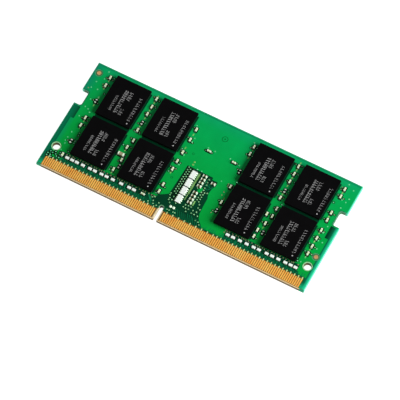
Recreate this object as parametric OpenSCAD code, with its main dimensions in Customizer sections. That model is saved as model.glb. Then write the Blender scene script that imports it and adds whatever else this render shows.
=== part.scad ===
// Small-outline memory module: a 260-contact circuit board that carries sixteen
// memory packages, eight on each face, with their capacitors, resistors and
// a configuration memory.
//
// Frame: the board lies flat. +X runs along the contact edge, +Y runs from the
// contact edge to the far edge, and +Z points up from the upper face. The
// origin is the centre of the outline at the outer faces of the lower packages.
// Layouts are given from the lower left corner of the board, in millimetres.

/* [Board] */
// Length of the board along its contact edge
board_l = 69.6; // [69.2:0.1:70.4]
// Width of the board from the contact edge to the far edge
board_w = 30; // [29.6:0.1:31]
// Thickness of the board over its outer copper
board_t = 1.2; // [1.0:0.05:1.4]
// Thickness of each outer dielectric sheet
prepreg_t = 0.07; // [0.06:0.01:0.08]
// Thickness of every copper layer
copper_t = 0.035; // [0.02:0.005:0.05]
// Thickness of the solder mask over the copper
mask_t = 0.02; // [0.015:0.005:0.04]
// Leg of the bevel along the contact edge
bevel = 0.3; // [0.1:0.05:0.4]

/* [Holes, notches and key slot] */
// Diameter of the two retention holes
hole_d = 1.8; // [1.6:0.1:2.0]
// Distance of each hole from its short edge
hole_x = 2.0; // [1.8:0.1:2.2]
// Distance of both holes from the contact edge
hole_y = 6.0; // [5.8:0.1:6.4]
// Outside diameter of the bare ring around each hole
ring_d = 2.3; // [2.2:0.1:3.0]
// Depth of each latch notch
notch_depth = 1.8; // [1.5:0.1:2.0]
// Lowest edge of each latch notch
notch_y = 18; // [17.8:0.1:18.4]
// Length of each latch notch
notch_l = 4; // [3.6:0.1:4.2]
// Corner radius at the bottom of each latch notch
notch_r = 0.6; // [0.2:0.1:0.8]
// Centre of the key slot, from the left edge
slot_x = 31.15; // [31.1:0.05:31.2]
// Width of the key slot
slot_w = 1.0; // [1.0:0.1:1.6]
// Depth of the key slot
slot_depth = 4; // [3.6:0.1:4.4]

/* [Edge contacts] */
// Pitch of the contacts
contact_pitch = 0.5; // [0.48:0.01:0.5]
// Width of one contact
contact_w = 0.35; // [0.28:0.01:0.38]
// Distance of the contacts from the edge
contact_y0 = 0.35; // [0.35:0.05:0.45]
// Where the contacts end, from the edge
contact_y1 = 2.65; // [2.4:0.05:2.8]
// Contacts in the short row, left of the slot
short_count = 58; // [40:1:58]
// Contacts in the long row, right of the slot
long_count = 72; // [50:1:72]
// First contact of the short row, from the left edge
short_x = 1.375; // [1.3:0.025:1.5]
// First contact of the long row, from the left edge
long_x = 32.425; // [32.35:0.025:32.5]

/* [Memory packages] */
// Width of one package along the board
chip_w = 9; // [8:0.1:9.2]
// Length of one package across the board
chip_l = 11.1; // [10.5:0.1:11.5]
// Height of a package over the board
package_h = 1.1; // [0.95:0.05:1.2]
// Gap between the board and a package, which the solder balls fill
ball_h = 0.3; // [0.2:0.05:0.35]
// Thickness of the package's own circuit board
substrate_t = 0.18; // [0.1:0.02:0.25]
// Diameter of one solder ball
ball_d = 0.45; // [0.35:0.05:0.5]
// Pitch of the solder balls
ball_pitch = 0.8; // [0.7:0.05:0.8]
// Width of the silicon die
die_w = 7; // [6:0.1:7.6]
// Length of the silicon die
die_l = 9.2; // [8:0.1:9.8]
// Thickness of the silicon die
die_t = 0.25; // [0.1:0.05:0.3]

/* [Small parts] */
// Length of a small capacitor or resistor
chip_part_l = 1.0; // [0.8:0.05:1.1]
// Width of a small capacitor or resistor
chip_part_w = 0.5; // [0.4:0.05:0.55]
// Height of a small capacitor
capacitor_h = 0.5; // [0.3:0.05:0.55]
// Height of a small resistor or resistor array
resistor_h = 0.35; // [0.25:0.05:0.45]
// Length of the metal end of a small part
terminal_l = 0.25; // [0.15:0.05:0.3]
// Length of a two-resistor array
pair_l = 0.9; // [0.8:0.05:1.0]
// Width of a two-resistor array
pair_w = 0.6; // [0.5:0.05:0.7]
// Length of a four-resistor array
quad_l = 2.05; // [1.9:0.05:2.15]
// Width of a four-resistor array
quad_w = 1.1; // [0.9:0.05:1.25]
// Pitch of the stacked four-resistor arrays
quad_pitch = 2.3; // [2.25:0.05:2.4]

/* [Configuration memory] */
// Length of its body along the board
spd_l = 3; // [2.8:0.1:3.2]
// Width of its body
spd_w = 2; // [1.8:0.1:2.2]
// Height of its body
spd_h = 0.75; // [0.55:0.05:0.85]

/* [Hidden] */
$fn = 48;
eps = 0.02;

// Heights of the outer copper faces
lower_z = package_h;
upper_z = package_h + board_t;
mid_z = package_h + board_t / 2;
core_t = board_t - 2 * (prepreg_t + copper_t);
plane_inset = 0.5;
plating = 0.02;

// How far the solder mask and the outer copper stay back from cut edges
mask_inset = 0.15;
copper_inset = 0.22;
// How far a land reaches past its part, and the copper-free ring round the part
land_reach = 0.08;
part_clear = 0.22;

// Centres of the memory packages
column_x = [10.45, 22.85, 48.15, 60.15];
row_y = [11.0, 23.0];

// Columns and rows of solder balls, in pitches from the package's centre
ball_columns = [-4, -3, -2, 2, 3, 4];
ball_rows = [-6 : 6];

// Small capacitors that stand across the board: one strip beside each column
// of packages, as [distance from the left edge, [distances from the contact edge]]
capacitor_strips = [
    [4.4, [27.5, 25.2, 15.5, 13.3, 4.65]],
    [16.7, [27.6, 25.3, 23.1, 18.4, 13.3, 6.8]],
    [17.2, [15.5, 9.8]],
    [28.7, [24.9, 21.9, 18.2, 15.6, 13.3, 8.8, 6.8]],
    [42.7, [27.2, 25.1, 15.5, 11.0]],
    [54.1, [27.5, 25.3, 23.1, 18.4, 11.0]],
    [53.3, [13.3, 8.7, 6.9]],
    [54.7, [15.5, 13.3]],
    [66.2, [27.3, 25.2, 20.5, 18.4, 15.5, 13.2, 10.9, 8.8]],
];
// Small capacitors that lie along the board, in the same form
capacitor_rows = [
    [33.95, [21.35]],
    [40.45, [21.4]],
    [38.8, [14.3]],
    [36.2, [15.15, 14.2, 13.25, 12.3, 10.4, 9.45, 8.5, 7.55]],
    [25.7, [4.45]],
];
// One calibration resistor beside each memory package
calibration_strips = [
    [4.4, [20.55, 8.65]],
    [16.7, [20.55]],
    [17.5, [8.1]],
    [42.7, [19.95, 8.65]],
    [54.2, [20.5]],
    [54.7, [8.65]],
];
// Bulk capacitor that lies along the board
bulk_x = 16.4;
bulk_y = 11.0;
bulk_l = 1.6;
bulk_w = 0.85;
bulk_h = 0.8;
bulk_terminal = 0.35;

// Two-resistor arrays in a row behind the contacts
pair_y = 4.4;
pair_x = [
    5.8, 7.1, 8.35, 9.95, 11.8, 13.1, 14.85, 16.2, 17.85, 20.05, 22.15, 23.4,
    47.85, 49.25, 51.0, 52.75, 54.55, 55.9, 57.9, 59.3, 60.9, 62.7, 64.05, 65.3
];
pair_gap = 0.16;
pair_element = pair_l / 2 - pair_gap;
pair_terminal = 0.14;

// Stack of four-resistor arrays
quad_x = 33.65;
quad_y = 7.3;
quad_count = 4;
quad_elements = 4;
quad_element = 0.3;
quad_terminal = 0.2;
quad_reach = 0.3;

// Configuration memory on the lower face
spd_x = 36.5;
spd_y = 13.5;
spd_pin_pitch = 0.5;
spd_pad_t = 0.05;

// Reference marks on both faces
mark_at = [[1.4, 27.5], [68.2, 9.0]];
mark_d = 1.0;
mark_clear_d = 1.9;

// Two square test pads beside the key slot
test_pads = [[32.85, 4.7], [33.65, 4.7]];
test_pad = [0.6, 0.75];

// Vias of the open field around the key slot, which the mask covers: two ladders
// of staggered vias and loose ones
via_d = 0.36;
ladder_x = [31.8, 32.35];
ladder_y = 8.6;
ladder_step = 0.7;
ladder_count = 11;
loose_vias = [
    [31.3, 7.8], [31.3, 7.3], [31.6, 6.6], [31.6, 6.1], [32.15, 5.5], [33.5, 6.0],
    [32.3, 7.3], [32.3, 6.4], [28.0, 4.9], [28.5, 5.25], [28.6, 4.2],
    [28.9, 3.5], [29.8, 3.4], [30.05, 4.25], [27.6, 3.5],
    [32.5, 3.7], [33.0, 3.7], [34.0, 3.7], [34.5, 3.7],
    [35.7, 6.7], [36.4, 6.8], [37.1, 6.8], [35.45, 6.0], [36.1, 5.9], [36.8, 6.0],
    [36.5, 5.2], [37.9, 6.2], [38.8, 6.2], [37.85, 5.4], [38.6, 5.4], [39.5, 5.4],
    [39.55, 4.2], [40.3, 4.1], [40.8, 3.6], [38.5, 8.2], [38.6, 7.3], [39.2, 7.1],
    [37.45, 14.9], [37.5, 14.1], [37.6, 13.4], [37.55, 12.5], [37.6, 11.9],
    [37.4, 11.2], [37.45, 10.5], [37.4, 9.7], [37.4, 9.1],
    [38.1, 11.4], [38.0, 10.8], [38.0, 10.1], [38.0, 9.5], [38.0, 8.8],
    [36.1, 11.8], [38.7, 11.6],
];

// Areas of the outer layers that hold no copper plane
open_field = [
    [28.6, 2.9], [28.6, 5.5], [29.1, 6.2], [31.0, 7.4], [31.3, 15.9], [38.0, 15.8],
    [38.1, 15.2], [39.5, 15.2], [39.6, 14.2], [39.1, 13.0], [39.0, 11.6], [39.4, 10.4],
    [39.45, 8.5], [39.6, 6.2], [40.0, 5.0], [41.7, 3.2], [41.7, 2.9]
];
left_band = [[4.7, 2.9], [4.7, 5.5], [28.6, 5.5], [28.6, 2.9]];
right_band = [
    [47.1, 2.9], [47.1, 4.9], [46.7, 5.5], [65.9, 5.5], [65.9, 4.1], [67.1, 2.9]
];
left_margin = 1.2;
right_margin = 1.0;
block_y = [14.2, 17.6];
block_w = 1.95;
// Lowest edge of the solder mask behind the contacts
mask_y = 2.9;
// How far a package's copper-free fan-out reaches past its left and right sides,
// and how far it stays inside its ends
fanout_left = 0.35;
fanout_right = 0.35;
fanout_end = 0.35;

// ---- Frames of the two faces ----

// Draws its children on the upper face: x and y from the board's lower left
// corner, z up from the outer copper
module on_upper() {
    translate([-board_l / 2, -board_w / 2, upper_z]) children();
}

// The same layout seen through the board, on the lower face
module on_lower() {
    translate([0, 0, 2 * mid_z]) mirror([0, 0, 1]) on_upper() children();
}

// ---- Outline of the board ----

module slot_shape(grow) {
    translate([slot_x - slot_w / 2 - grow, -eps])
        square([slot_w + 2 * grow, slot_depth - slot_w / 2 + eps]);
    translate([slot_x, slot_depth - slot_w / 2]) circle(d = slot_w + 2 * grow);
}

// A latch notch in the left edge, with round inner corners
module notch_shape(grow) {
    depth = notch_depth + grow;
    low = notch_y - grow;
    high = notch_y + notch_l + grow;
    translate([-eps, low]) square([depth - notch_r + eps, high - low]);
    translate([0, low + notch_r]) square([depth, high - low - 2 * notch_r]);
    for (y = [low + notch_r, high - notch_r])
        translate([depth - notch_r, y]) circle(r = notch_r);
}

module both_notches(grow) {
    notch_shape(grow);
    translate([board_l, 0]) mirror([1, 0]) notch_shape(grow);
}

module at_holes() {
    for (x = [hole_x, board_l - hole_x]) translate([x, hole_y]) children();
}

// The board's outline, pulled in by inset along every cut edge
module board_shape(inset, hole) {
    difference() {
        translate([inset, inset]) square([board_l - 2 * inset, board_w - 2 * inset]);
        slot_shape(inset);
        both_notches(inset);
        at_holes() circle(d = hole);
    }
}

// Wedges that cut the bevels of the contact edge, in the frame of a face
module edge_bevels() {
    for (side = [0, 1])
        translate([-eps, 0, side ? -board_t + copper_t : -copper_t])
            mirror([0, 0, side])
                rotate([90, 0, 90])
                    linear_extrude(board_l + 2 * eps)
                        polygon([[-eps, eps], [bevel, eps], [bevel, 0], [0, -bevel],
                                 [-eps, -bevel]]);
}

module board_sheet(low, high) {
    difference() {
        translate([0, 0, low]) linear_extrude(high - low) board_shape(0, hole_d);
        edge_bevels();
    }
}

module inner_plane_shape() {
    difference() {
        board_shape(plane_inset, hole_d + 2 * plane_inset);
        square([board_l, contact_y1 + plane_inset]);
    }
}

// ---- Board layers ----

module board_core() {
    top = -copper_t - prepreg_t;
    color([0.62, 0.66, 0.42]) on_upper() difference() {
        board_sheet(top - core_t, top);
        translate([0, 0, top - copper_t]) linear_extrude(copper_t + eps) inner_plane_shape();
        translate([0, 0, top - core_t - eps])
            linear_extrude(copper_t + eps) inner_plane_shape();
    }
}

module upper_prepreg() {
    color([0.66, 0.70, 0.46]) on_upper() board_sheet(-copper_t - prepreg_t, -copper_t);
}

module lower_prepreg() {
    color([0.66, 0.70, 0.46]) on_upper()
        board_sheet(-board_t + copper_t, -board_t + copper_t + prepreg_t);
}

module ground_plane() {
    color([0.80, 0.47, 0.28]) on_upper()
        translate([0, 0, -2 * copper_t - prepreg_t])
            linear_extrude(copper_t) inner_plane_shape();
}

module power_plane() {
    color([0.80, 0.47, 0.28]) on_upper()
        translate([0, 0, -board_t + copper_t + prepreg_t])
            linear_extrude(copper_t) inner_plane_shape();
}

// The strip of bare laminate that holds the contacts, between its covered ends
module contact_window() {
    x0 = short_x - 0.6 * contact_pitch;
    x1 = long_x + (long_count - 0.4) * contact_pitch;
    translate([x0, -eps]) square([x1 - x0, mask_y + eps]);
    translate([-eps, -eps]) square([board_l + 2 * eps, bevel + eps + 0.05]);
}

// Parts of the face where the outer layer has no copper plane
module bare_areas() {
    polygon(open_field);
    polygon(left_band);
    polygon(right_band);
    square([left_margin, block_y[1]]);
    translate([0, block_y[0]]) square([block_w, block_y[1] - block_y[0]]);
    translate([board_l - right_margin, 0]) square([right_margin, block_y[1]]);
    translate([board_l - block_w, block_y[0]]) square([block_w, block_y[1] - block_y[0]]);
    square([board_l, mask_y + 0.3]);
    for (x = column_x, y = row_y)
        translate([x - chip_w / 2 - fanout_left, y - chip_l / 2 + fanout_end])
            square([chip_w + fanout_left + fanout_right, chip_l - 2 * fanout_end]);
    for (x = column_x) translate([x - chip_w / 2, row_y[0]])
        square([chip_w, row_y[1] - row_y[0]]);
}

// Copper-free ground round every small part and test mark
module clearances(upper) {
    if (upper) at_capacitors() part_clearance(chip_part_l, chip_part_w);
    else at_lower_capacitors() part_clearance(chip_part_l, chip_part_w);
    if (upper) translate([bulk_x, bulk_y]) part_clearance(bulk_l, bulk_w);
    at_calibration() part_clearance(chip_part_l, chip_part_w);
    for (at = mark_at) translate(at) circle(d = mark_clear_d);
}

module copper_shape(upper) {
    difference() {
        board_shape(copper_inset, ring_d + 0.1);
        bare_areas();
        clearances(upper);
    }
}

module mask_shape(upper) {
    difference() {
        board_shape(mask_inset, ring_d);
        contact_window();
        for (at = mark_at) translate(at) circle(d = mark_clear_d);
        land_set(upper);
    }
}

module copper_plane(upper) {
    translate([0, 0, -copper_t]) linear_extrude(copper_t) copper_shape(upper);
}

// The film lies on the copper and fills down to the dielectric beside it
module mask_film(upper) {
    linear_extrude(mask_t) mask_shape(upper);
    translate([0, 0, -copper_t]) linear_extrude(copper_t) difference() {
        mask_shape(upper);
        copper_shape(upper);
        if (upper) via_shapes();
    }
}

module upper_copper() {
    color([0.80, 0.47, 0.28]) on_upper() copper_plane(true);
}

module lower_copper() {
    color([0.80, 0.47, 0.28]) on_lower() copper_plane(false);
}

module upper_solder_mask() {
    color([0.02, 0.50, 0.24]) on_upper() mask_film(true);
}

module lower_solder_mask() {
    color([0.02, 0.50, 0.24]) on_lower() mask_film(false);
}

// ---- Contacts, rings, marks and vias ----

module contact_row(first, count) {
    for (i = [0 : count - 1])
        translate([first + i * contact_pitch - contact_w / 2, contact_y0, -copper_t])
            cube([contact_w, contact_y1 - contact_y0, copper_t]);
}

module upper_short_contacts() {
    color([0.90, 0.64, 0.30]) on_upper() contact_row(short_x, short_count);
}

module upper_long_contacts() {
    color([0.90, 0.64, 0.30]) on_upper() contact_row(long_x, long_count);
}

module lower_short_contacts() {
    color([0.90, 0.64, 0.30]) on_lower() contact_row(short_x, short_count);
}

module lower_long_contacts() {
    color([0.90, 0.64, 0.30]) on_lower() contact_row(long_x, long_count);
}

module hole_rings() {
    at_holes() translate([0, 0, -copper_t]) difference() {
        cylinder(d = ring_d, h = copper_t);
        translate([0, 0, -eps]) cylinder(d = hole_d + 0.1, h = copper_t + 2 * eps);
    }
}

module upper_hole_rings() {
    color([0.85, 0.83, 0.70]) on_upper() hole_rings();
}

module lower_hole_rings() {
    color([0.85, 0.83, 0.70]) on_lower() hole_rings();
}

module fiducials() {
    for (at = mark_at) translate([at[0], at[1], -copper_t]) cylinder(d = mark_d, h = copper_t);
}

module upper_fiducials() {
    color([0.83, 0.50, 0.33]) on_upper() fiducials();
}

module lower_fiducials() {
    color([0.83, 0.50, 0.33]) on_lower() fiducials();
}

module via_shapes() {
    for (column = [0, 1], i = [0 : ladder_count - 1])
        translate([ladder_x[column], ladder_y + (i - column / 2) * ladder_step])
            circle(d = via_d);
    for (at = loose_vias) translate(at) circle(d = via_d);
}

module upper_via_pads() {
    color([0.55, 0.78, 0.50]) on_upper()
        translate([0, 0, -copper_t]) linear_extrude(copper_t) via_shapes();
}

// ---- Small parts, each drawn about its own centre with its length along X ----

// Visits each place of a list of strips and turns the child to stand across the board
module at_strips(strips, turn) {
    for (strip = strips, y = strip[1]) translate([strip[0], y]) rotate(turn) children();
}

module two_end_body(l, w, h) {
    translate([-l / 2 + plating, -w / 2 + plating, mask_t + plating])
        cube([l - 2 * plating, w - 2 * plating, h - 2 * plating - mask_t]);
}

// The two plated ends, hollow where the ceramic body sits
module two_end_terminals(l, w, h, end) {
    difference() {
        for (side = [0, 1]) mirror([side, 0, 0])
            translate([-l / 2, -w / 2, mask_t]) cube([end, w, h - mask_t]);
        two_end_body(l, w, h);
    }
}

// Two tinned lands under a part with two ends
module two_end_lands(l, w, end) {
    for (side = [0, 1]) mirror([side, 0, 0])
        translate([-l / 2 - land_reach, -w / 2 - 0.03])
            square([end + land_reach, w + 0.06]);
}

module part_clearance(l, w) {
    reach = land_reach + part_clear;
    square([l + 2 * reach, w + 2 * part_clear], center = true);
}

module at_capacitors() {
    at_strips(capacitor_strips, 90) children();
    at_strips(capacitor_rows, 0) children();
}

module at_calibration() {
    at_strips(calibration_strips, 90) children();
}

module at_pairs() {
    for (x = pair_x) translate([x, pair_y]) children();
}

module at_quads() {
    for (i = [0 : quad_count - 1]) translate([quad_x, quad_y + i * quad_pitch]) children();
}

// The open field of the lower face holds the configuration memory in place of
// the arrays and the eight capacitors beside them
module at_lower_capacitors() {
    at_strips(capacitor_strips, 90) children();
    at_strips([capacitor_rows[0], capacitor_rows[1], capacitor_rows[4]], 0) children();
}

module capacitor_body() {
    two_end_body(chip_part_l, chip_part_w, capacitor_h);
}

module capacitor_ends() {
    two_end_terminals(chip_part_l, chip_part_w, capacitor_h, terminal_l);
}

module resistor_body() {
    two_end_body(chip_part_l, chip_part_w, resistor_h);
}

module resistor_ends() {
    two_end_terminals(chip_part_l, chip_part_w, resistor_h, terminal_l);
}

module upper_capacitor_bodies() {
    color([0.72, 0.60, 0.45]) on_upper() at_capacitors() capacitor_body();
}

module upper_capacitor_terminals() {
    color([0.86, 0.86, 0.80]) on_upper() at_capacitors() capacitor_ends();
}

module lower_capacitor_bodies() {
    color([0.72, 0.60, 0.45]) on_lower() at_lower_capacitors() capacitor_body();
}

module lower_capacitor_terminals() {
    color([0.86, 0.86, 0.80]) on_lower() at_lower_capacitors() capacitor_ends();
}

module bulk_capacitor_body() {
    color([0.66, 0.52, 0.38]) on_upper() translate([bulk_x, bulk_y])
        two_end_body(bulk_l, bulk_w, bulk_h);
}

module bulk_capacitor_terminals() {
    color([0.86, 0.86, 0.80]) on_upper() translate([bulk_x, bulk_y])
        two_end_terminals(bulk_l, bulk_w, bulk_h, bulk_terminal);
}

module upper_calibration_resistors() {
    color([0.07, 0.07, 0.08]) on_upper() at_calibration() resistor_body();
}

module upper_calibration_terminals() {
    color([0.86, 0.86, 0.84]) on_upper() at_calibration() resistor_ends();
}

module lower_calibration_resistors() {
    color([0.07, 0.07, 0.08]) on_lower() at_calibration() resistor_body();
}

module lower_calibration_terminals() {
    color([0.86, 0.86, 0.84]) on_lower() at_calibration() resistor_ends();
}

// An array's ceramic body: its terminals stand in the two long sides
module array_body(l, w, h, count, element, inset) {
    difference() {
        translate([-l / 2, -w / 2, mask_t]) cube([l, w, h - mask_t]);
        array_terminals(l, w, h, count, element, inset);
    }
}

module array_terminals(l, w, h, count, element, inset) {
    pitch = l / count;
    for (i = [0 : count - 1], side = [-1, 1])
        translate([(i - (count - 1) / 2) * pitch - element / 2,
                   side * (w / 2 - inset / 2) - inset / 2, mask_t])
            cube([element, inset, h - mask_t]);
}

// Lands under an array's terminals, which reach past its long sides
module array_lands(l, w, count, element, inset, reach) {
    pitch = l / count;
    for (i = [0 : count - 1], side = [0, 1]) mirror([0, side, 0])
        translate([(i - (count - 1) / 2) * pitch - element / 2, w / 2 - inset])
            square([element, inset + reach]);
}

module pair_body() {
    array_body(pair_l, pair_w, resistor_h, 2, pair_element, pair_terminal);
}

module pair_ends() {
    array_terminals(pair_l, pair_w, resistor_h, 2, pair_element, pair_terminal);
}

module quad_body() {
    rotate(90) array_body(quad_l, quad_w, resistor_h, quad_elements, quad_element, quad_terminal);
}

module quad_ends() {
    rotate(90)
        array_terminals(quad_l, quad_w, resistor_h, quad_elements, quad_element, quad_terminal);
}

module upper_resistor_pairs() {
    color([0.95, 0.95, 0.93]) on_upper() at_pairs() pair_body();
}

module upper_resistor_pair_terminals() {
    color([0.88, 0.88, 0.86]) on_upper() at_pairs() pair_ends();
}

module lower_resistor_pairs() {
    color([0.95, 0.95, 0.93]) on_lower() at_pairs() pair_body();
}

module lower_resistor_pair_terminals() {
    color([0.88, 0.88, 0.86]) on_lower() at_pairs() pair_ends();
}

module resistor_quads() {
    color([0.95, 0.95, 0.93]) on_upper() at_quads() quad_body();
}

module resistor_quad_terminals() {
    color([0.88, 0.88, 0.86]) on_upper() at_quads() quad_ends();
}

// Every tinned land of one face
module land_set(upper) {
    if (upper) {
        at_capacitors() two_end_lands(chip_part_l, chip_part_w, terminal_l);
        translate([bulk_x, bulk_y]) two_end_lands(bulk_l, bulk_w, bulk_terminal);
        at_quads() rotate(90)
            array_lands(quad_l, quad_w, quad_elements, quad_element, quad_terminal, quad_reach);
        for (at = test_pads) translate(at) square(test_pad, center = true);
    } else {
        at_lower_capacitors() two_end_lands(chip_part_l, chip_part_w, terminal_l);
        translate([spd_x, spd_y]) spd_land_shape();
    }
    at_calibration() two_end_lands(chip_part_l, chip_part_w, terminal_l);
    at_pairs() array_lands(pair_l, pair_w, 2, pair_element, pair_terminal, land_reach);
}

module upper_solder_lands() {
    color([0.80, 0.80, 0.76]) on_upper()
        translate([0, 0, -copper_t]) linear_extrude(copper_t + mask_t) land_set(true);
}

module lower_solder_lands() {
    color([0.80, 0.80, 0.76]) on_lower()
        translate([0, 0, -copper_t]) linear_extrude(copper_t + mask_t) land_set(false);
}

// ---- Memory packages ----

module at_package(index) {
    translate([column_x[index % 4], row_y[floor(index / 4)]]) children();
}

module package_block(w, l, low, high) {
    translate([-w / 2, -l / 2, low]) cube([w, l, high - low]);
}

die_low = ball_h + substrate_t;

// The moulded cap, hollow where it encloses the die
module package_cap() {
    difference() {
        package_block(chip_w, chip_l, die_low, package_h);
        package_block(die_w, die_l, die_low - eps, die_low + die_t);
    }
}

module upper_cap(index) {
    color([0.05, 0.05, 0.06]) on_upper() at_package(index) package_cap();
}

module lower_cap(index) {
    color([0.05, 0.05, 0.06]) on_lower() at_package(index) package_cap();
}

module upper_memory_1() { upper_cap(0); }
module upper_memory_2() { upper_cap(1); }
module upper_memory_3() { upper_cap(2); }
module upper_memory_4() { upper_cap(3); }
module upper_memory_5() { upper_cap(4); }
module upper_memory_6() { upper_cap(5); }
module upper_memory_7() { upper_cap(6); }
module upper_memory_8() { upper_cap(7); }
module lower_memory_1() { lower_cap(0); }
module lower_memory_2() { lower_cap(1); }
module lower_memory_3() { lower_cap(2); }
module lower_memory_4() { lower_cap(3); }
module lower_memory_5() { lower_cap(4); }
module lower_memory_6() { lower_cap(5); }
module lower_memory_7() { lower_cap(6); }
module lower_memory_8() { lower_cap(7); }

module all_substrates() {
    for (i = [0 : 7]) at_package(i) package_block(chip_w, chip_l, ball_h, die_low);
}

module all_dies() {
    for (i = [0 : 7]) at_package(i) package_block(die_w, die_l, die_low, die_low + die_t);
}

module all_balls() {
    for (i = [0 : 7]) at_package(i)
        for (column = ball_columns, row = ball_rows)
            translate([column * ball_pitch, row * ball_pitch, mask_t])
                cylinder(d = ball_d, h = ball_h - mask_t, $fn = 16);
}

module upper_memory_substrates() {
    color([0.10, 0.30, 0.16]) on_upper() all_substrates();
}

module lower_memory_substrates() {
    color([0.10, 0.30, 0.16]) on_lower() all_substrates();
}

module upper_memory_dies() {
    color([0.45, 0.47, 0.52]) on_upper() all_dies();
}

module lower_memory_dies() {
    color([0.45, 0.47, 0.52]) on_lower() all_dies();
}

module upper_solder_balls() {
    color([0.78, 0.78, 0.76]) on_upper() all_balls();
}

module lower_solder_balls() {
    color([0.78, 0.78, 0.76]) on_lower() all_balls();
}

// ---- Configuration memory on the lower face ----

module spd_pad_places() {
    for (side = [-1, 1], i = [-1.5 : 1.5])
        translate([i * spd_pin_pitch, side * (spd_w / 2 - 0.15)]) children();
}

module spd_land_shape() {
    spd_pad_places() square([0.25, 0.5], center = true);
    square([1.4, 0.8], center = true);
}

module spd_body() {
    color([0.06, 0.06, 0.07]) on_lower() translate([spd_x, spd_y, mask_t + spd_pad_t])
        translate([-spd_l / 2, -spd_w / 2, 0]) cube([spd_l, spd_w, spd_h]);
}

module spd_pads() {
    color([0.82, 0.82, 0.80]) on_lower() translate([spd_x, spd_y, mask_t])
        linear_extrude(spd_pad_t) {
            spd_pad_places() square([0.22, 0.3], center = true);
            square([1.3, 0.7], center = true);
        }
}

// ---- Drawn nodes ----

board_core();
upper_prepreg();
lower_prepreg();
ground_plane();
power_plane();
upper_copper();
lower_copper();
upper_solder_mask();
lower_solder_mask();
upper_short_contacts();
upper_long_contacts();
lower_short_contacts();
lower_long_contacts();
upper_hole_rings();
lower_hole_rings();
upper_fiducials();
lower_fiducials();
upper_via_pads();
upper_solder_lands();
lower_solder_lands();
upper_memory_1();
upper_memory_2();
upper_memory_3();
upper_memory_4();
upper_memory_5();
upper_memory_6();
upper_memory_7();
upper_memory_8();
lower_memory_1();
lower_memory_2();
lower_memory_3();
lower_memory_4();
lower_memory_5();
lower_memory_6();
lower_memory_7();
lower_memory_8();
upper_memory_substrates();
lower_memory_substrates();
upper_memory_dies();
lower_memory_dies();
upper_solder_balls();
lower_solder_balls();
upper_capacitor_bodies();
upper_capacitor_terminals();
lower_capacitor_bodies();
lower_capacitor_terminals();
bulk_capacitor_body();
bulk_capacitor_terminals();
upper_calibration_resistors();
upper_calibration_terminals();
lower_calibration_resistors();
lower_calibration_terminals();
upper_resistor_pairs();
upper_resistor_pair_terminals();
lower_resistor_pairs();
lower_resistor_pair_terminals();
resistor_quads();
resistor_quad_terminals();
spd_body();
spd_pads();
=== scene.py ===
import math
import random

import bmesh
import bpy
from mathutils import Matrix, Vector


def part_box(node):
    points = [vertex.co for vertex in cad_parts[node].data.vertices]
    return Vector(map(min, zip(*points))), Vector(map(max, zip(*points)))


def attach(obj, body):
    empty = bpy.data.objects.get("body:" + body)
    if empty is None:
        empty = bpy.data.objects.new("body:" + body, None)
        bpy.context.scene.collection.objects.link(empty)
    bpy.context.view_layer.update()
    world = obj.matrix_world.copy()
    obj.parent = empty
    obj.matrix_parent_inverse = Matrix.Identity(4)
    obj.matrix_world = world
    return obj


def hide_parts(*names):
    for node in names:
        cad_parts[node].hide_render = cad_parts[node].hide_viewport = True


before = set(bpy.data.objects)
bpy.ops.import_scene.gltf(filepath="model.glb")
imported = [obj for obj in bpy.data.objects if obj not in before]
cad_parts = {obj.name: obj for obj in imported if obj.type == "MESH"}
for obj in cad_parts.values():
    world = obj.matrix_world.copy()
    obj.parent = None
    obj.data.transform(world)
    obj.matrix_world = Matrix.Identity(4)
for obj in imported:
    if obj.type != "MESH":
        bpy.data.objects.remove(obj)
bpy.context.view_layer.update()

MM = 0.001
BODY = "root"

# ---- Frames of the board's two faces ----
# Both are in millimetres, from the board's lower left corner and outward from the contacts' tops.

corner, far_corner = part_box("board_core")
upper_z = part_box("upper_long_contacts")[1].z
lower_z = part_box("lower_long_contacts")[0].z
UPPER = Matrix.Translation((corner.x, corner.y, upper_z)) @ Matrix.Diagonal((MM, MM, MM, 1))
LOWER = Matrix.Translation((corner.x, corner.y, lower_z)) @ Matrix.Diagonal((MM, MM, -MM, 1))
mask_top = (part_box("upper_solder_mask")[1].z - upper_z) / MM
package_top = (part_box("upper_memory_1")[1].z - upper_z) / MM
# What lies on the green film starts a little below its top
sunk = mask_top - 0.004

# Places that the materials follow, in metres: the short edges, the contact edge, and the
# key slot's middle line with the centre of its round end; the slot's radius is in millimetres
half_l = (far_corner.x - corner.x) / 2
low_y = corner.y
slot_x = corner.x + 31.15 * MM
slot_end = corner.y + 3.5 * MM
slot_r = 0.5

# How far each flat thing stands over the green film, so that the right one is on top
GROUND_RISE = 0.001
FIELD_GAP_RISE = 0.003
FIELD_COPPER_RISE = 0.004
COPPER_RISE = 0.006
TRACE_RISE = 0.008
ROUND_GAP_RISE = 0.009
EXIT_RISE = 0.012


def islands(node, face):
    """The box of each separate solid of a CAD node, in the frame of a face."""
    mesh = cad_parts[node].data
    to_face = face.inverted()
    keys = [tuple(round(c / MM, 3) for c in v.co) for v in mesh.vertices]
    parent = {k: k for k in keys}

    def root(k):
        while parent[k] != k:
            parent[k] = parent[parent[k]]
            k = parent[k]
        return k

    for polygon in mesh.polygons:
        first = root(keys[polygon.vertices[0]])
        for index in polygon.vertices[1:]:
            parent[root(keys[index])] = first
    groups = {}
    for k in parent:
        groups.setdefault(root(k), []).append(to_face @ (Vector(k) * MM))
    boxes = []
    for points in groups.values():
        low = Vector([min(p[i] for p in points) for i in range(3)])
        high = Vector([max(p[i] for p in points) for i in range(3)])
        boxes.append((low, high))
    return sorted(boxes, key=lambda box: (round(box[0].x, 2), round(box[0].y, 2)))


# ---- Mesh building ----


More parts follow.
